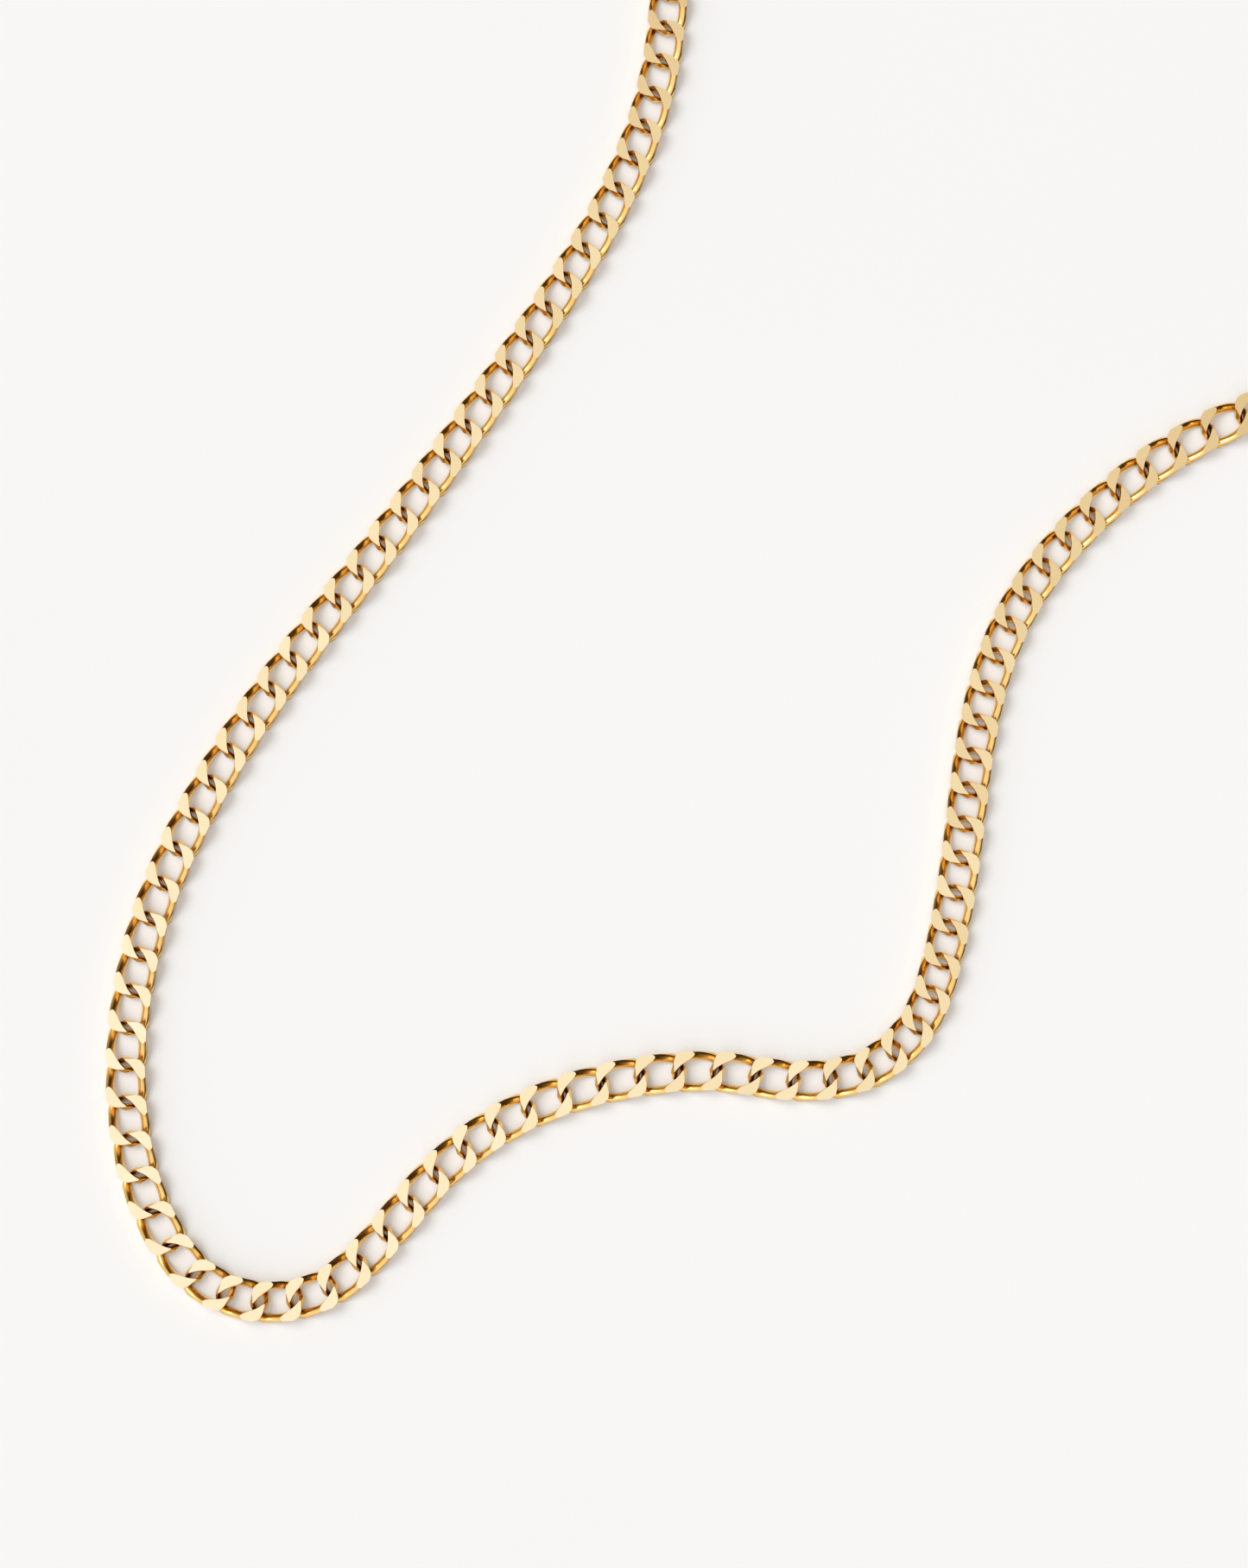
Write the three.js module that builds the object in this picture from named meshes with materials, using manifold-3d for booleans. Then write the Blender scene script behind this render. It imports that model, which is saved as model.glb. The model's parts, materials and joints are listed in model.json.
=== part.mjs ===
// Flat curb chain necklace, laid open on a table: 104 curb links, a lobster claw on a jump ring at
// one end, and an end ring for the claw at the other. Millimetres, +Z up. The origin is on the
// table, under the middle of the whole necklace.
//
// The links hook through each other, so a node holds two neighbouring links, joined where they
// cross by a small tack, and the nodes hang in each other with a little clearance.

import * as THREE from "three";
import { mergeVertices } from "three/addons/utils/BufferGeometryUtils.js";
import Module from "manifold-3d";

const wasm = await Module();
wasm.setup();

// Curb link: a ring of wire, twisted, then cut flat on its four sides
const chain_width = 4.5;
const chain_thickness = 1.5;
const wire_diameter = 1.0;
const link_half_length = 2.75;
const link_half_width = 1.87;
const link_squareness = 4;
const link_twist_lift = 1.15;
const link_stations = 12;
const wire_sides = 4;
// a square section as heavy as the round wire reaches this much further at its corners
const section_swell = 1.15;
const links_per_node = 2;
const tack_length = 1.0;
const tack_thickness = 0.5;

// Rings at the two ends of the chain
const ring_radius = 2.4;
const ring_wire_radius = 0.42;
const ring_tilt = THREE.MathUtils.degToRad(20);
const ring_pitch = THREE.MathUtils.degToRad(17);
const ring_clearance = 0.2;
const ring_sides = 8;
const ring_stations = 28;

// Lobster claw
const claw_thickness = 2.4;
const claw_bevel = 0.35;
const claw_roll = THREE.MathUtils.degToRad(-22);
const claw_height = 2.25;
const eye_radius = 1.45;
const eye_wire_radius = 0.45;
const eye_slack = 0.6;
const lever_thickness = 1.0;
const lever_bevel = 0.15;
const slot_width = 1.2;
const pivot = new THREE.Vector2(3.4, -1.1);
const pin_radius = 0.35;
const pin_hole_radius = 0.42;
const pin_length = 2.3;
const pin_sides = 16;
const spring_width = 0.6;
const pocket_width = 0.8;

// Where the links hook on to each other, every second hook, from the claw's end to the other end.
// The links between them lie on the smooth curve through these points.
const route_points = [
  [16.0, 137.0], [12.5, 129.2], [9.7, 121.1], [7.6, 112.9], [6.2, 104.5], [5.4, 96.0],
  [4.5, 87.6], [2.5, 79.4], [-0.6, 71.5], [-4.5, 64.0], [-8.9, 56.8], [-13.5, 49.6],
  [-18.3, 42.4], [-23.2, 35.3], [-28.2, 28.3], [-33.3, 21.4], [-38.4, 14.5], [-43.2, 7.4],
  [-47.6, 0.0], [-51.4, -7.7], [-54.4, -15.8], [-56.2, -24.1], [-56.8, -32.6], [-56.0, -41.0],
  [-53.5, -49.1], [-48.5, -56.4], [-41.1, -59.4], [-33.2, -57.8], [-26.9, -51.7], [-21.3, -45.0],
  [-14.7, -39.7], [-6.8, -36.0], [1.9, -33.9], [10.6, -33.3], [19.3, -34.5], [27.6, -33.3],
  [33.6, -28.1], [36.4, -20.7], [38.1, -12.8], [39.3, -4.8], [40.4, 3.2], [42.1, 11.1],
  [44.9, 18.7], [49.2, 25.6], [54.7, 31.7], [61.2, 37.3], [68.7, 41.9], [76.8, 45.5],
  [84.5, 49.3], [91.2, 54.4], [96.7, 60.7], [100.8, 68.0], [103.6, 76.0],
];
const node_count = route_points.length - 1;
const link_count = node_count * links_per_node;

const gold = new THREE.MeshStandardMaterial({ color: 0xe8bf6a, roughness: 0.28, metalness: 1.0 });
const steel = new THREE.MeshStandardMaterial({ color: 0xb9b4a8, roughness: 0.35, metalness: 1.0 });

const necklace = new THREE.Group();

// ---- meshes and solids -------------------------------------------------------------------

function solid_of(geometry) {
  const bare = geometry.clone();
  bare.deleteAttribute("normal");
  bare.deleteAttribute("uv");
  const welded = mergeVertices(bare, 1e-5);
  const mesh = new wasm.Mesh({
    numProp: 3,
    vertProperties: new Float32Array(welded.attributes.position.array),
    triVerts: new Uint32Array(welded.index.array),
  });
  return new wasm.Manifold(mesh);
}

function geometry_of(solid) {
  const mesh = solid.getMesh();
  const geometry = new THREE.BufferGeometry();
  geometry.setAttribute("position", new THREE.BufferAttribute(mesh.vertProperties, 3));
  geometry.setIndex(new THREE.BufferAttribute(mesh.triVerts, 1));
  geometry.computeVertexNormals();
  return geometry;
}

function add_node(name, geometry, material, parent = necklace) {
  const mesh = new THREE.Mesh(geometry, material);
  mesh.name = name;
  parent.add(mesh);
}

// ---- curb links --------------------------------------------------------------------------

// The middle line of a link's wire: a rounded rectangle in plan, with opposite corners lifted and
// lowered by the twist
function link_line(angle) {
  const power = 2 / link_squareness;
  const along = Math.cos(angle);
  const across = Math.sin(angle);
  const u = Math.sign(along) * Math.abs(along) ** power;
  const v = Math.sign(across) * Math.abs(across) ** power;
  return new THREE.Vector3(link_half_length * u, link_half_width * v, -link_twist_lift * u * v);
}

function link_direction(angle) {
  const step = 1e-3;
  return link_line(angle + step).sub(link_line(angle - step)).normalize();
}

// One link, lying along X round the origin, its flats cut by pressing the wire to the cut planes
function link_geometry() {
  const positions = [];
  const faces = [];
  const reach = (wire_diameter / 2) * section_swell;
  for (let station = 0; station < link_stations; station++) {
    const angle = (2 * Math.PI * station) / link_stations;
    const centre = link_line(angle);
    const along = link_direction(angle);
    const outward = new THREE.Vector3(along.y, -along.x, 0).normalize();
    const upward = new THREE.Vector3().crossVectors(along, outward);
    for (let side = 0; side < wire_sides; side++) {
      const turn = (2 * Math.PI * (side + 0.5)) / wire_sides;
      const point = centre.clone();
      point.addScaledVector(outward, reach * Math.cos(turn));
      point.addScaledVector(upward, reach * Math.sin(turn));
      point.y = THREE.MathUtils.clamp(point.y, -chain_width / 2, chain_width / 2);
      point.z = THREE.MathUtils.clamp(point.z, -chain_thickness / 2, chain_thickness / 2);
      positions.push(point.x, point.y, point.z);
      const next_side = (side + 1) % wire_sides;
      const next_station = (station + 1) % link_stations;
      const a = station * wire_sides + side;
      const b = station * wire_sides + next_side;
      const c = next_station * wire_sides + next_side;
      const d = next_station * wire_sides + side;
      faces.push(a, b, c, a, c, d);
    }
  }
  const geometry = new THREE.BufferGeometry();
  geometry.setAttribute("position", new THREE.Float32BufferAttribute(positions, 3));
  geometry.setIndex(faces);
  return geometry;
}

const route = new THREE.CatmullRomCurve3(
  route_points.map(([x, y]) => new THREE.Vector3(x, y, chain_thickness / 2)),
  false,
  "catmullrom",
  0.5,
);

// The point where link number index starts and the one before it ends
function hook_point(index) {
  return route.getPoint(index / link_count);
}

function heading(from, to) {
  return Math.atan2(to.y - from.y, to.x - from.x);
}

function placement(centre, turn) {
  const matrix = new THREE.Matrix4().makeRotationZ(turn);
  return matrix.setPosition(centre);
}

function link_placement(index) {
  const start = hook_point(index);
  const end = hook_point(index + 1);
  const middle = start.clone().add(end).multiplyScalar(0.5);
  return placement(middle, heading(start, end));
}

const link_solid = solid_of(link_geometry());
const tack_solid = solid_of(new THREE.BoxGeometry(tack_length, tack_thickness, tack_thickness));

for (let node = 0; node < node_count; node++) {
  const first = node * links_per_node;
  const tack_turn = heading(hook_point(first), hook_point(first + links_per_node));
  const pair = link_solid
    .transform(link_placement(first).elements)
    .add(link_solid.transform(link_placement(first + 1).elements))
    .add(tack_solid.transform(placement(hook_point(first + 1), tack_turn).elements));
  add_node(`link_pair_${String(node + 1).padStart(2, "0")}`, geometry_of(pair), gold);
}

// ---- rings -------------------------------------------------------------------------------

function ring_geometry(radius, wire_radius) {
  return new THREE.TorusGeometry(radius, wire_radius, ring_sides, ring_stations);
}

// A group at a chain end, its X axis pointing away from the chain along its last link
function end_group(end_index, inner_index) {
  const group = new THREE.Group();
  const end = hook_point(end_index);
  group.position.copy(end);
  group.rotation.z = heading(hook_point(inner_index), end);
  necklace.add(group);
  return group;
}

// How far the middle of the last link's end bar lies beyond the hook point at that end
function bar_offset(end_index, inner_index) {
  const pitch = hook_point(end_index).distanceTo(hook_point(inner_index));
  return link_half_length - pitch / 2;
}

// Adds a ring through the last link and returns how far from the hook point its middle lies
function add_ring(name, group, bar_x, pitch, lift) {
  const bar_half = (wire_diameter / 2) * section_swell;
  const middle_x = bar_x - bar_half - ring_wire_radius - ring_clearance + ring_radius;
  const ring = new THREE.Group();
  ring.position.set(middle_x, 0, lift);
  ring.rotation.set(ring_tilt, -pitch, 0, "YXZ");
  group.add(ring);
  add_node(name, ring_geometry(ring_radius, ring_wire_radius), gold, ring);
  return middle_x;
}

const ring_rest_height = ring_radius * Math.sin(ring_tilt) + ring_wire_radius;

const claw_end = end_group(0, 1);
const jump_ring_lift = 0.8;
const jump_ring_x = add_ring("jump_ring", claw_end, bar_offset(0, 1), ring_pitch, jump_ring_lift);

const ring_end = end_group(link_count, link_count - 1);
const end_ring_lift = ring_rest_height - chain_thickness / 2;
add_ring("end_ring", ring_end, bar_offset(link_count, link_count - 1), 0, end_ring_lift);

// ---- lobster claw ------------------------------------------------------------------------

// The claw's own frame: the eye's middle at the origin, X towards the nose, Z through its thickness
const claw = new THREE.Group();
const ring_tip_x = jump_ring_x + ring_radius * Math.cos(ring_pitch);
const eye_grip = ring_wire_radius + eye_wire_radius + ring_clearance + eye_slack;
claw.position.set(ring_tip_x - eye_grip + eye_radius, 0, claw_height - chain_thickness / 2);
claw.rotation.x = claw_roll;
claw_end.add(claw);

function plate(shape, thickness, bevel) {
  const geometry = new THREE.ExtrudeGeometry(shape, {
    depth: thickness - 2 * bevel,
    bevelEnabled: true,
    bevelThickness: bevel,
    bevelSize: bevel,
    bevelOffset: -bevel,
    bevelSegments: 2,
    curveSegments: 5,
  });
  return geometry.translate(0, 0, bevel - thickness / 2);
}

function body_shape() {
  const shape = new THREE.Shape();
  shape.moveTo(1.0, -0.9);
  shape.bezierCurveTo(1.6, -1.9, 2.2, -2.4, 3.4, -2.45);
  shape.bezierCurveTo(4.2, -2.4, 4.9, -2.0, 4.95, -1.3);
  shape.bezierCurveTo(4.5, 0.4, 5.2, 1.6, 7.4, 1.7);
  shape.bezierCurveTo(9.8, 1.75, 11.6, 0.8, 11.5, -1.3);
  shape.lineTo(12.7, -1.7);
  shape.bezierCurveTo(13.9, 0.6, 11.6, 3.4, 7.4, 3.3);
  shape.bezierCurveTo(4.6, 3.2, 2.4, 2.4, 1.0, 0.9);
  shape.closePath();
  return shape;
}

function lever_shape() {
  const shape = new THREE.Shape();
  shape.absarc(pivot.x, pivot.y, 0.85, Math.PI / 2, Math.PI * 1.6, false);
  shape.bezierCurveTo(4.2, -2.3, 4.3, -3.4, 4.9, -3.6);
  shape.bezierCurveTo(5.5, -3.7, 5.6, -3.1, 5.9, -2.9);
  shape.bezierCurveTo(7.4, -3.1, 9.6, -3.0, 11.15, -2.1);
  shape.lineTo(11.15, -1.4);
  shape.bezierCurveTo(9.6, -1.9, 7.4, -2.1, 5.6, -1.7);
  shape.bezierCurveTo(4.8, -1.2, 4.4, -0.3, 3.4, -0.25);
  return shape;
}

function spring_shape() {
  const shape = new THREE.Shape();
  shape.moveTo(2.75, 0.66);
  shape.lineTo(2.75, 0.52);
  shape.lineTo(3.85, 0.5);
  shape.lineTo(2.88, 0.14);
  shape.lineTo(2.93, 0.02);
  shape.lineTo(4.15, 0.48);
  shape.lineTo(4.15, 0.66);
  shape.closePath();
  return shape;
}

// A box between two corners, x and y from the drawing, as wide as given through the thickness
function cutter(x0, x1, y0, y1, width) {
  const box = new THREE.BoxGeometry(x1 - x0, y1 - y0, width);
  return solid_of(box.translate((x0 + x1) / 2, (y0 + y1) / 2, 0));
}

function pin_geometry(radius, length) {
  const cylinder = new THREE.CylinderGeometry(radius, radius, length, pin_sides);
  return cylinder.rotateX(Math.PI / 2).translate(pivot.x, pivot.y, 0);
}

const lever_slot = cutter(2.4, 5.7, -4.0, -0.1, slot_width);
const spring_pocket = cutter(2.6, 4.3, -0.2, 0.8, pocket_width);
const pin_hole = solid_of(pin_geometry(pin_hole_radius, 2 * claw_thickness));

const claw_body = solid_of(plate(body_shape(), claw_thickness, claw_bevel))
  .add(solid_of(ring_geometry(eye_radius, eye_wire_radius)))
  .subtract(lever_slot)
  .subtract(spring_pocket)
  .subtract(pin_hole);
const claw_lever = solid_of(plate(lever_shape(), lever_thickness, lever_bevel)).subtract(pin_hole);
const claw_spring = new THREE.ExtrudeGeometry(spring_shape(), { depth: spring_width, bevelEnabled: false });

add_node("claw_body", geometry_of(claw_body), gold, claw);
add_node("claw_lever", geometry_of(claw_lever), gold, claw);
add_node("claw_pin", pin_geometry(pin_radius, pin_length), gold, claw);
add_node("claw_spring", claw_spring.translate(0, 0, -spring_width / 2), steel, claw);

// ---- origin ------------------------------------------------------------------------------

necklace.updateMatrixWorld(true);
const whole = new THREE.Box3().setFromObject(necklace, true);
const middle = whole.getCenter(new THREE.Vector3());
necklace.position.set(-middle.x, -middle.y, 0);

export default necklace;
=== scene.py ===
"""Curb chain necklace: every link, ring and claw piece, laid on pale paper under soft light."""

import json
import math
import random

import bmesh
import bpy
import numpy as np
from mathutils import Matrix, Vector


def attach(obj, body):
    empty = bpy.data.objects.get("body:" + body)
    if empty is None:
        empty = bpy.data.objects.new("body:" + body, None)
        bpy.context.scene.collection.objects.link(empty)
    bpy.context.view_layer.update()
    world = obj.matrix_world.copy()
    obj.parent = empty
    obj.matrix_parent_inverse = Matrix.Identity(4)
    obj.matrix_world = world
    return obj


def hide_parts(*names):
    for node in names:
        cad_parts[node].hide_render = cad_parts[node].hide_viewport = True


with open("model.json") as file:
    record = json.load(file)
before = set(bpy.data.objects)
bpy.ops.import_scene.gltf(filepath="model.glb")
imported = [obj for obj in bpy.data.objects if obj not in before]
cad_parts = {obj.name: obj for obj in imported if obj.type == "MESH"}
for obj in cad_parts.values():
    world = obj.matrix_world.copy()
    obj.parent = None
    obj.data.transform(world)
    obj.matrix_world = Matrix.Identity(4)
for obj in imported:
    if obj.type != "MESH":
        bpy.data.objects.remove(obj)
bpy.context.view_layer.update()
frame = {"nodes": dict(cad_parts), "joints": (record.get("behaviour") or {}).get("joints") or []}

MM = 0.001

# ---- sizes, in millimetres -----------------------------------------------------------------

CHAIN_WIDTH = 4.5
CHAIN_THICKNESS = 1.5
LINKS_PER_NODE = 2

# a link's outside and its hole before it is twisted: half length, half width and squareness
LINK_OUTSIDE = (3.31, 2.58, 3.2)
LINK_HOLE = (2.27, 1.34)
# the hole is rounder in the two corners that the twist lifts than in the two it lowers
HOLE_SQUARENESS_HIGH = 1.95
HOLE_SQUARENESS_LOW = 3.6
# half the wire's depth at the sides, the corners and the ends
WIRE_DEPTHS = (0.56, 0.67, 0.52)
WIRE_SQUARENESS = 1.6
TWIST_LENGTH = 2.55
LINK_TWIST = math.radians(36)
# the ends are cut to a blunt ridge, and the corners are rounded
END_REACH = 3.17
END_SLOPE = 0.60
CORNER_REACH = 2.64
CORNER_RADIUS = 1.05
CORNER_CUTS_DEG = (18, 36, 54, 72)
LINK_STATIONS = 84
WIRE_SIDES = 24
EDGE_BEVEL = 0.025
BEVEL_STEPS = 2
BEVEL_PROFILE = 0.6
# a cut whose normal is at least this upright is a facet
FACET_UPRIGHTNESS = 0.9

# a link's material slots
WALL = 0
FACET = 1

# Where the links hook on to each other, every second hook, as in the CAD
ROUTE_POINTS = [
    (16.0, 137.0), (12.5, 129.2), (9.7, 121.1), (7.6, 112.9), (6.2, 104.5), (5.4, 96.0),
    (4.5, 87.6), (2.5, 79.4), (-0.6, 71.5), (-4.5, 64.0), (-8.9, 56.8), (-13.5, 49.6),
    (-18.3, 42.4), (-23.2, 35.3), (-28.2, 28.3), (-33.3, 21.4), (-38.4, 14.5), (-43.2, 7.4),
    (-47.6, 0.0), (-51.4, -7.7), (-54.4, -15.8), (-56.2, -24.1), (-56.8, -32.6), (-56.0, -41.0),
    (-53.5, -49.1), (-48.5, -56.4), (-41.1, -59.4), (-33.2, -57.8), (-26.9, -51.7), (-21.3, -45.0),
    (-14.7, -39.7), (-6.8, -36.0), (1.9, -33.9), (10.6, -33.3), (19.3, -34.5), (27.6, -33.3),
    (33.6, -28.1), (36.4, -20.7), (38.1, -12.8), (39.3, -4.8), (40.4, 3.2), (42.1, 11.1),
    (44.9, 18.7), (49.2, 25.6), (54.7, 31.7), (61.2, 37.3), (68.7, 41.9), (76.8, 45.5),
    (84.5, 49.3), (91.2, 54.4), (96.7, 60.7), (100.8, 68.0), (103.6, 76.0),
]
NODE_COUNT = len(ROUTE_POINTS) - 1
LINK_COUNT = NODE_COUNT * LINKS_PER_NODE

joints = {joint["name"]: joint for joint in frame["joints"]}
collection = bpy.context.scene.collection


# ---- the route -----------------------------------------------------------------------------

def hook_point(index):
    """The point where link number index starts, in millimetres, on the curve through the route."""
    place = index / LINKS_PER_NODE
    start = min(int(place), NODE_COUNT - 1)
    t = place - start
    points = [Vector(p) for p in ROUTE_POINTS]
    before = points[start - 1] if start > 0 else 2 * points[0] - points[1]
    a = points[start]
    b = points[start + 1]
    last = start + 2 > NODE_COUNT
    after = 2 * points[-1] - points[-2] if last else points[start + 2]
    linear = (b - before) * t
    square = (2 * before - 5 * a + 4 * b - after) * t**2
    cube = (3 * a - before - 3 * b + after) * t**3
    return (2 * a + linear + square + cube) / 2


# the row frame's origin lies elsewhere on the table: one hinge shows by how much
known_hook = hook_point(2 * LINKS_PER_NODE)
known_place = Vector(joints["turn_02"]["pos_m"][:2]) / MM
route_shift = known_place - known_hook


# ---- helpers -------------------------------------------------------------------------------

def new_object(name, bm, material):
    mesh = bpy.data.meshes.new(name)
    bm.to_mesh(mesh)
    bm.free()
    mesh.materials.append(material)
    obj = bpy.data.objects.new(name, mesh)
    collection.objects.link(obj)
    return obj


def signed_power(value, exponent):
    return math.copysign(abs(value) ** exponent, value)


def skin(bm, rings, closed):
    """Smooth faces along rings of vertices, which meet end to end or end in two flat caps."""
    following = rings[1:] + rings[:1] if closed else rings[1:]
    for ring, after in zip(rings, following):
        count = len(ring)
        for side in range(count):
            turn = (side + 1) % count
            bm.faces.new((ring[side], after[side], after[turn], ring[turn])).smooth = True
    if not closed:
        bm.faces.new(rings[0][::-1])
        bm.faces.new(rings[-1])
    bmesh.ops.recalc_face_normals(bm, faces=bm.faces)


# ---- the curb link -------------------------------------------------------------------------

def rounded_box_point(angle, half_length, half_width, squareness):
    power = 2 / squareness
    x = half_length * signed_power(math.cos(angle), power)
    return Vector((x, half_width * signed_power(math.sin(angle), power)))


def link_edges(angle):
    """Opposite points on a link's outside and on its hole, at an angle round the link."""
    high = math.sin(angle) * math.cos(angle) < 0
    squareness = HOLE_SQUARENESS_HIGH if high else HOLE_SQUARENESS_LOW
    outside = rounded_box_point(angle, *LINK_OUTSIDE)
    return outside, rounded_box_point(angle, *LINK_HOLE, squareness)


FINE_STEPS = 4000


def link_angles():
    """Angles round a link that put its sections evenly along the middle of the wire."""
    angles = np.linspace(0, 2 * math.pi, FINE_STEPS + 1)
    line = [outside + hole for outside, hole in map(link_edges, angles)]
    steps = [(after - before).length for before, after in zip(line, line[1:])]
    run = np.concatenate([[0], np.cumsum(steps)])
    wanted = np.linspace(0, run[-1], LINK_STATIONS, endpoint=False)
    return np.interp(wanted, run, angles)


def twisted(x, y, z):
    angle = -LINK_TWIST * max(-1, min(1, x / TWIST_LENGTH))
    c = math.cos(angle)
    s = math.sin(angle)
    return Vector((x, y * c - z * s, y * s + z * c))


def link_cuts():
    """The planes a link is cut by, as a point, a normal and whether the cut shades as round."""
    half_thickness = CHAIN_THICKNESS / 2
    half_width = CHAIN_WIDTH / 2
    cuts = []
    for sign in (1, -1):
        cuts.append((Vector((0, 0, sign * half_thickness)), Vector((0, 0, sign)), False))
        cuts.append((Vector((0, sign * half_width, 0)), Vector((0, sign, 0)), False))
        for slope in (END_SLOPE, -END_SLOPE):
            cuts.append((Vector((sign * END_REACH, 0, 0)), Vector((sign, 0, slope)), False))
        for across in (1, -1):
            middle_x = sign * (CORNER_REACH - CORNER_RADIUS)
            middle_y = across * (half_width - CORNER_RADIUS)
            for degrees in CORNER_CUTS_DEG:
                angle = math.radians(degrees)
                normal = Vector((sign * math.cos(angle), across * math.sin(angle), 0))
                point = Vector((middle_x, middle_y, 0)) + normal * CORNER_RADIUS
                cuts.append((point, normal, True))
    return cuts


def cut_flat(bm, point, normal, rounded):
    """Cuts bm off beyond a plane and closes it. Cuts through the thickness are the facets, which
    take the paler gold that paints their light.
    """
    geometry = bm.verts[:] + bm.edges[:] + bm.faces[:]
    cut = bmesh.ops.bisect_plane(
        bm, geom=geometry, plane_co=point, plane_no=normal, clear_outer=True, dist=1e-6
    )
    edges = [e for e in cut["geom_cut"] if isinstance(e, bmesh.types.BMEdge)]
    filled = bmesh.ops.edgeloop_fill(bm, edges=[e for e in edges if e.is_boundary])
    for face in filled["faces"]:
        face.smooth = rounded
        face.material_index = FACET if abs(normal.z) > FACET_UPRIGHTNESS else WALL


def link_mesh():
    """One link, lying along X round the origin, in millimetres."""
    bm = bmesh.new()
    rings = []
    for place in link_angles():
        outside, hole = link_edges(place)
        middle = (outside + hole) / 2
        reach = (outside - hole) / 2
        end = (reach.x / reach.length) ** 2
        corner = 4 * end * (1 - end)
        plain = WIRE_DEPTHS[0] * (1 - end) + WIRE_DEPTHS[2] * end
        depth = plain * (1 - corner) + WIRE_DEPTHS[1] * corner
        ring = []
        for side in range(WIRE_SIDES):
            angle = 2 * math.pi * side / WIRE_SIDES
            spot = middle + reach * signed_power(math.cos(angle), 2 / WIRE_SQUARENESS)
            up = depth * signed_power(math.sin(angle), 2 / WIRE_SQUARENESS)
            ring.append(bm.verts.new(twisted(spot.x, spot.y, up)))
        rings.append(ring)
    skin(bm, rings, closed=True)
    for point, normal, rounded in link_cuts():
        cut_flat(bm, point, normal, rounded)
    flat_edges = [e for e in bm.edges if any(not face.smooth for face in e.link_faces)]
    bmesh.ops.bevel(
        bm, geom=flat_edges, offset=EDGE_BEVEL, segments=BEVEL_STEPS, profile=BEVEL_PROFILE,
        affect="EDGES", clamp_overlap=True,
    )
    mesh = bpy.data.meshes.new("curb_link")
    bm.to_mesh(mesh)
    bm.free()
    return mesh


# ---- materials -----------------------------------------------------------------------------

# scales are in repeats to the metre
DRIFT_SCALE = 90.0
SMEAR_SCALE = 900.0
GRAIN_SCALE = 2600.0
GRAIN_STRENGTH = 0.25
WIPE_STRETCH = 7.0
WIPE_DIRECTION = math.radians(35)


def new_material(name):
    material = bpy.data.materials.new(name)
    material.use_nodes = True
    tree = material.node_tree
    return material, tree, tree.nodes["Principled BSDF"]


def noise(tree, coordinates, scale, detail=3.0):
    node = tree.nodes.new("ShaderNodeTexNoise")
    node.inputs["Scale"].default_value = scale
    node.inputs["Detail"].default_value = detail
    tree.links.new(coordinates, node.inputs["Vector"])
    return node.outputs["Fac"]


def ramp(tree, value, stops):
    node = tree.nodes.new("ShaderNodeValToRGB")
    while len(node.color_ramp.elements) < len(stops):
        node.color_ramp.elements.new(0.5)
    for element, (position, color) in zip(node.color_ramp.elements, stops):
        element.position = position
        element.color = (*color, 1)
    tree.links.new(value, node.inputs["Fac"])
    return node.outputs["Color"]


def spread(tree, value, low, high):
    """Stretches the middle of a noise over low to high."""
    node = tree.nodes.new("ShaderNodeMapRange")
    node.inputs["From Min"].default_value = 0.3
    node.inputs["From Max"].default_value = 0.7
    node.inputs["To Min"].default_value = low
    node.inputs["To Max"].default_value = high
    tree.links.new(value, node.inputs["Value"])
    return node.outputs["Result"]


# painted shade: how near other metal darkens a recess, and the shares of open sky between which it
# does
RECESS_REACH = 0.0006
RECESS_DARK = 0.15
RECESS_CLEAR = 0.85


def paint_recess_shade(tree, color, recess_shade):
    """Mixes painted shade over color where other metal stands close by."""
    shelter = tree.nodes.new("ShaderNodeAmbientOcclusion")
    shelter.samples = 6
    shelter.inputs["Distance"].default_value = RECESS_REACH
    depth = tree.nodes.new("ShaderNodeMapRange")
    depth.inputs["From Min"].default_value = RECESS_DARK
    depth.inputs["From Max"].default_value = RECESS_CLEAR
    tree.links.new(shelter.outputs["AO"], depth.inputs["Value"])
    mix = tree.nodes.new("ShaderNodeMix")
    mix.data_type = "RGBA"
    mix.inputs[6].default_value = (*recess_shade, 1)
    tree.links.new(depth.outputs["Result"], mix.inputs[0])
    tree.links.new(color, mix.inputs[7])
    return mix.outputs[2]


def polished_metal(name, tones, roughness, grain_depth, recess_shade=None):
    """Polished metal: its tone wanders from link to link, with faint wipe marks and fine grain, and
    painted shade in its recesses when a recess shade is given.
    """
    material, tree, shader = new_material(name)
    coordinates = tree.nodes.new("ShaderNodeTexCoord").outputs["Object"]
    drift = noise(tree, coordinates, DRIFT_SCALE, 2.0)
    color = ramp(tree, drift, tones)
    # painted shade where other metal stands close: the recesses and the gaps between parts
    if recess_shade:
        color = paint_recess_shade(tree, color, recess_shade)
    tree.links.new(color, shader.inputs["Base Color"])
    smear = noise(tree, coordinates, SMEAR_SCALE, 4.0)
    tree.links.new(spread(tree, smear, *roughness), shader.inputs["Roughness"])
    stretch = tree.nodes.new("ShaderNodeMapping")
    stretch.inputs["Scale"].default_value = (1.0, WIPE_STRETCH, 1.0)
    stretch.inputs["Rotation"].default_value = (0, 0, WIPE_DIRECTION)
    tree.links.new(coordinates, stretch.inputs["Vector"])
    grain = noise(tree, stretch.outputs["Vector"], GRAIN_SCALE, 2.0)
    bump = tree.nodes.new("ShaderNodeBump")
    bump.inputs["Strength"].default_value = GRAIN_STRENGTH
    bump.inputs["Distance"].default_value = grain_depth
    tree.links.new(grain, bump.inputs["Height"])
    tree.links.new(bump.outputs["Normal"], shader.inputs["Normal"])
    shader.inputs["Metallic"].default_value = 1.0
    return material


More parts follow.
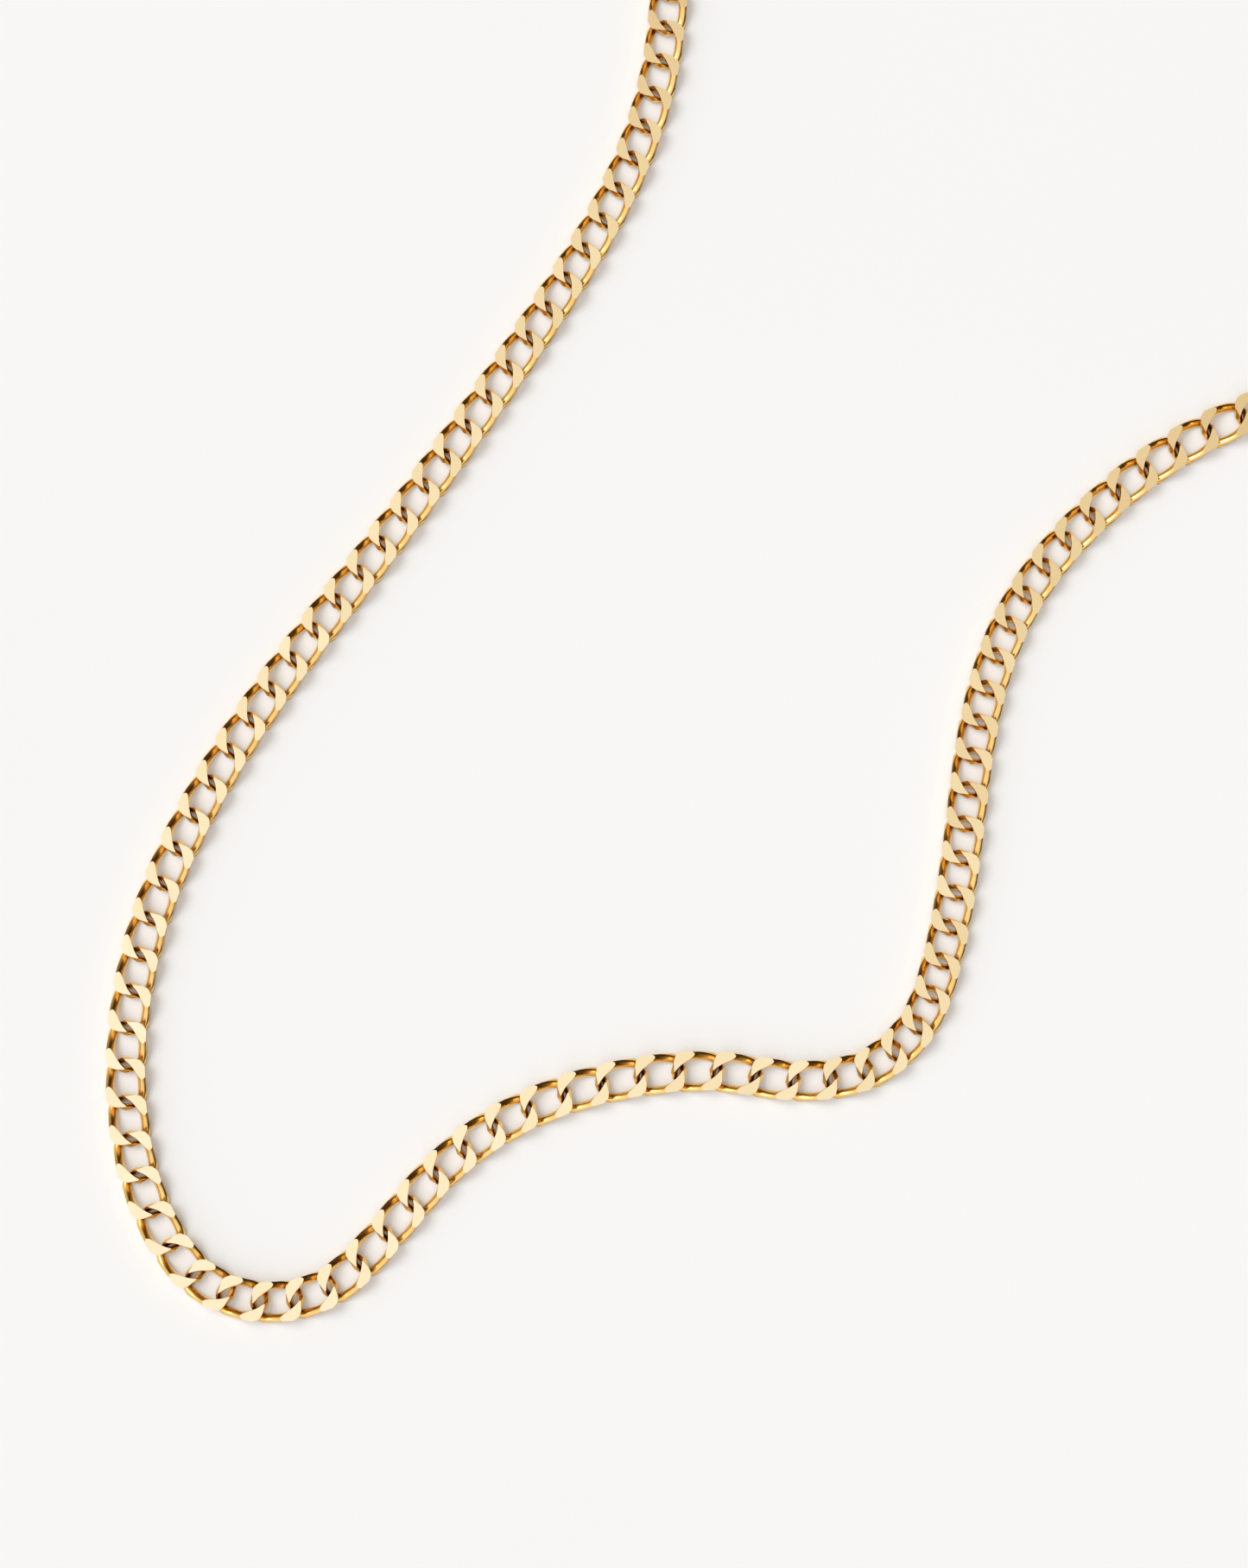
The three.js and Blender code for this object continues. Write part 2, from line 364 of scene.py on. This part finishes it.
# painted light and shade: a link's walls and facets are one gold, the walls' tones a darker, deeper
# copy that paints their shade, the facets' a paler copy that paints the light from above
SHADED_WALL_TONES = [(0.3, (0.87, 0.53, 0.16)), (0.7, (0.93, 0.61, 0.21))]
CAST_TONES = [(0.3, (0.89, 0.62, 0.27)), (0.7, (0.94, 0.69, 0.33))]
LIT_FACET_TONES = [(0.3, (0.94, 0.76, 0.45)), (0.7, (0.98, 0.81, 0.51))]
STEEL_TONES = [(0.3, (0.58, 0.56, 0.53)), (0.7, (0.68, 0.66, 0.62))]
# the dark brown of the painted shade in the recesses
GOLD_RECESS_SHADE = (0.17, 0.065, 0.018)
shaded_wall_gold = polished_metal("shaded_polished_gold", SHADED_WALL_TONES, (0.14, 0.22), 0.000012, GOLD_RECESS_SHADE)
cast_gold = polished_metal("cast_gold", CAST_TONES, (0.15, 0.24), 0.000012, GOLD_RECESS_SHADE)
# the paler copy of the link gold, which paints the light on the facets
lit_facet_gold = polished_metal("lit_facet_gold", LIT_FACET_TONES, (0.10, 0.16), 0.000002)
steel = polished_metal("spring_steel", STEEL_TONES, (0.25, 0.38), 0.00002)


# a faint glow of its own, which lifts the shadows on the paper
PAPER_GLOW = 0.12
PAPER_TONES = [(0.3, (0.835, 0.835, 0.825)), (0.7, (0.85, 0.85, 0.84))]
PAPER_TONE_SCALE = 6.0
PAPER_TOOTH_SCALE = 1500.0
PAPER_TOOTH_DEPTH = 0.00003


def paper_material():
    material, tree, shader = new_material("paper")
    coordinates = tree.nodes.new("ShaderNodeTexCoord").outputs["Object"]
    tone = noise(tree, coordinates, PAPER_TONE_SCALE, 2.0)
    tree.links.new(ramp(tree, tone, PAPER_TONES), shader.inputs["Base Color"])
    tooth = noise(tree, coordinates, PAPER_TOOTH_SCALE, 3.0)
    bump = tree.nodes.new("ShaderNodeBump")
    bump.inputs["Strength"].default_value = 0.15
    bump.inputs["Distance"].default_value = PAPER_TOOTH_DEPTH
    tree.links.new(tooth, bump.inputs["Height"])
    tree.links.new(bump.outputs["Normal"], shader.inputs["Normal"])
    shader.inputs["Roughness"].default_value = 0.95
    shader.inputs["Emission Color"].default_value = (1, 1, 0.99, 1)
    shader.inputs["Emission Strength"].default_value = PAPER_GLOW
    shader.inputs["Specular IOR Level"].default_value = 0.15
    return material


# ---- the links -----------------------------------------------------------------------------

# how far a link may lie rolled and tipped
LINK_ROLL = math.radians(1.6)
LINK_PITCH = math.radians(0.8)
SEED = 11
chance = random.Random(SEED)
curb_link = link_mesh()
# the walls take the shaded copy of the gold, the facets the lit one
curb_link.materials.append(shaded_wall_gold)
curb_link.materials.append(lit_facet_gold)

for number in range(LINK_COUNT):
    start = hook_point(number) + route_shift
    end = hook_point(number + 1) + route_shift
    middle = (start + end) / 2
    turn = math.atan2(end.y - start.y, end.x - start.x)
    roll = Matrix.Rotation(chance.uniform(-LINK_ROLL, LINK_ROLL), 4, "X")
    pitch = Matrix.Rotation(chance.uniform(-LINK_PITCH, LINK_PITCH), 4, "Y")
    mesh = curb_link.copy()
    mesh.transform(Matrix.Rotation(turn, 4, "Z") @ roll @ pitch)
    lift = -min(vertex.co.z for vertex in mesh.vertices)
    place = Matrix.Translation((middle.x, middle.y, lift))
    mesh.transform(Matrix.Scale(MM, 4) @ place)
    link = bpy.data.objects.new(f"link_{number + 1:03d}", mesh)
    collection.objects.link(link)
    node = f"link_pair_{number // LINKS_PER_NODE + 1:02d}"
    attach(link, node)
    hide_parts(node)


# ---- rings ---------------------------------------------------------------------------------

def node_points(node):
    mesh = frame["nodes"][node].data
    points = np.zeros(len(mesh.vertices) * 3)
    mesh.vertices.foreach_get("co", points)
    return points.reshape(-1, 3)


def round_frame(node):
    """Middle, long axes and spread of a CAD node, the last axis being the thinnest way through."""
    points = np.unique(node_points(node).round(7), axis=0)
    middle = points.mean(axis=0)
    _, _, axes = np.linalg.svd(points - middle)
    reach = [np.abs((points - middle) @ axis).max() for axis in axes]
    return Vector(middle), [Vector(axis) for axis in axes], reach


# the visible ring has the outside size of the CAD ring and a finer wire, which clears the link
RING_WIRE_SHARE = 0.72
RING_STATIONS = 96
RING_SIDES = 24
# the angle left open at the joint, and the wire's size from its filed end inward
RING_GAP = 0.012
FILED_END = (0.9, 0.98, 1.0)


def fine_ring(name, node, body):
    """A round wire ring in place of the CAD's, closed by a filed butt joint."""
    middle, axes, reach = round_frame(node)
    wire = reach[2] * RING_WIRE_SHARE
    radius = (reach[0] + reach[1]) / 2 - wire
    bm = bmesh.new()
    rings = []
    for station in range(RING_STATIONS):
        angle = RING_GAP / 2 + (2 * math.pi - RING_GAP) * station / (RING_STATIONS - 1)
        outward = axes[0] * math.cos(angle) + axes[1] * math.sin(angle)
        from_end = min(station, RING_STATIONS - 1 - station)
        size = wire * FILED_END[min(from_end, len(FILED_END) - 1)]
        ring = []
        for side in range(RING_SIDES):
            turn = 2 * math.pi * side / RING_SIDES
            out = outward * (radius + size * math.cos(turn))
            ring.append(bm.verts.new(middle + out + axes[2] * (size * math.sin(turn))))
        rings.append(ring)
    skin(bm, rings, closed=False)
    obj = new_object(name, bm, cast_gold)
    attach(obj, body)
    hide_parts(node)


fine_ring("jump_ring_wire", "jump_ring", "jump_ring")
fine_ring("end_ring_wire", "end_ring", "end_ring")


# ---- lobster claw --------------------------------------------------------------------------

CLAW_VOXEL = 0.085
LEVER_VOXEL = 0.07
SOFTENING = 0.5
SOFTENING_ROUNDS = 5


def cast_piece(name, node, body, voxel):
    """A cast and tumbled piece: the CAD node's shape with its edges softened."""
    bm = bmesh.new()
    bm.from_mesh(frame["nodes"][node].data)
    bmesh.ops.remove_doubles(bm, verts=bm.verts, dist=1e-7)
    for vertex in bm.verts:
        vertex.co /= MM
    obj = new_object(name, bm, cast_gold)
    remesh = obj.modifiers.new("remesh", "REMESH")
    remesh.mode = "VOXEL"
    remesh.voxel_size = voxel
    remesh.use_smooth_shade = True
    soften = obj.modifiers.new("soften", "SMOOTH")
    soften.factor = SOFTENING
    soften.iterations = SOFTENING_ROUNDS
    applied = bpy.data.meshes.new_from_object(
        obj.evaluated_get(bpy.context.evaluated_depsgraph_get())
    )
    obj.modifiers.clear()
    obj.data = applied
    obj.data.transform(Matrix.Scale(MM, 4))
    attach(obj, body)
    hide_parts(node)


cast_piece("claw_body_cast", "claw_body", "claw", CLAW_VOXEL)
cast_piece("claw_lever_cast", "claw_lever", "claw_lever", LEVER_VOXEL)


RIVET_SIDES = 32
RIVET_DOME = 0.00012
DOME_DEGREES = (85, 60, 40, 20, 0)


def rivet(name, node, body):
    """The claw's pivot pin, with its two ends peened into low domes."""
    points = node_points(node)
    middle = points.mean(axis=0)
    _, _, axes = np.linalg.svd(points - middle)
    along = Vector(axes[0])
    side_a = Vector(axes[1])
    side_b = Vector(axes[2])
    half = np.abs((points - middle) @ axes[0]).max()
    radius = np.abs((points - middle) @ axes[1]).max()
    profile = []
    for degrees in DOME_DEGREES:
        angle = math.radians(degrees)
        place = -half + RIVET_DOME * (1 - math.sin(angle))
        profile.append((place, radius * math.cos(angle)))
    profile += [(-place, size) for place, size in profile[::-1]]
    bm = bmesh.new()
    rings = []
    for place, size in profile:
        ring = []
        for step in range(RIVET_SIDES):
            angle = 2 * math.pi * step / RIVET_SIDES
            out = side_a * (size * math.cos(angle)) + side_b * (size * math.sin(angle))
            ring.append(bm.verts.new(Vector(middle) + along * place + out))
        rings.append(ring)
    skin(bm, rings, closed=False)
    obj = new_object(name, bm, cast_gold)
    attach(obj, body)
    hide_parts(node)


rivet("claw_pin_rivet", "claw_pin", "claw")

spring = frame["nodes"]["claw_spring"]
spring.data.materials.clear()
spring.data.materials.append(steel)


# ---- table, light and camera ---------------------------------------------------------------

TABLE_HALF_SIZE = 1.6
TABLE_DROP = 0.00002

bm = bmesh.new()
bmesh.ops.create_grid(bm, x_segments=8, y_segments=8, size=TABLE_HALF_SIZE)
table = new_object("paper_table", bm, paper_material())
table.location = (0, 0, -TABLE_DROP)

WINDOW_STRENGTH = 1.05
WINDOW_SPREAD = math.radians(36)
WINDOW_COLOR = (0.97, 0.99, 1.0)
TOWARD_WINDOW = Vector((-0.55, 0.22, 0.80))

window = bpy.data.lights.new("window", "SUN")
window.energy = WINDOW_STRENGTH
window.angle = WINDOW_SPREAD
window.color = WINDOW_COLOR
window_place = bpy.data.objects.new("window", window)
collection.objects.link(window_place)
window_place.rotation_euler = TOWARD_WINDOW.to_track_quat("Z", "Y").to_euler()

# a warm dim room beyond the table, and a white ceiling that is brightest at the front left
SKY_AXIS = Vector((-0.55, -0.35, 0.76)).normalized()
SKY_STRENGTH = 1.35
SKY_TONES = [
    (0.00, (0.040, 0.022, 0.011)),
    (0.20, (0.19, 0.13, 0.075)),
    (0.38, (0.36, 0.30, 0.22)),
    (0.52, (0.60, 0.54, 0.43)),
    (0.66, (0.71, 0.69, 0.65)),
    (0.74, (0.76, 0.78, 0.82)),
    (0.82, (0.78, 0.82, 0.91)),
    (1.00, (0.88, 0.90, 0.95)),
]
world = bpy.data.worlds.new("studio")
bpy.context.scene.world = world
world.use_nodes = True
sky = world.node_tree
toward = sky.nodes.new("ShaderNodeVectorMath")
toward.operation = "DOT_PRODUCT"
toward.inputs[1].default_value = SKY_AXIS
sky.links.new(sky.nodes.new("ShaderNodeTexCoord").outputs["Generated"], toward.inputs[0])
backdrop = sky.nodes["Background"]
sky.links.new(ramp(sky, toward.outputs["Value"], SKY_TONES), backdrop.inputs["Color"])
backdrop.inputs["Strength"].default_value = SKY_STRENGTH

CAMERA_DISTANCE = 0.4
CAMERA_TILT = math.radians(9.5)
FOCAL_PER_LONG_SIDE = 4000 / 1815
SENSOR = 36.0

lens = bpy.data.cameras.new("camera")
lens.sensor_fit = "AUTO"
lens.sensor_width = SENSOR
lens.lens = SENSOR * FOCAL_PER_LONG_SIDE
lens.clip_start = 0.01
lens.clip_end = 20
camera = bpy.data.objects.new("camera", lens)
collection.objects.link(camera)
route_origin = Vector((route_shift.x * MM, route_shift.y * MM, 0))
away = Vector((0, -math.sin(CAMERA_TILT), math.cos(CAMERA_TILT))) * CAMERA_DISTANCE
camera.location = route_origin + away
camera.rotation_euler = (CAMERA_TILT, 0, 0)
bpy.context.scene.camera = camera
bpy.context.scene.view_settings.view_transform = "Standard"

bpy.context.view_layer.update()
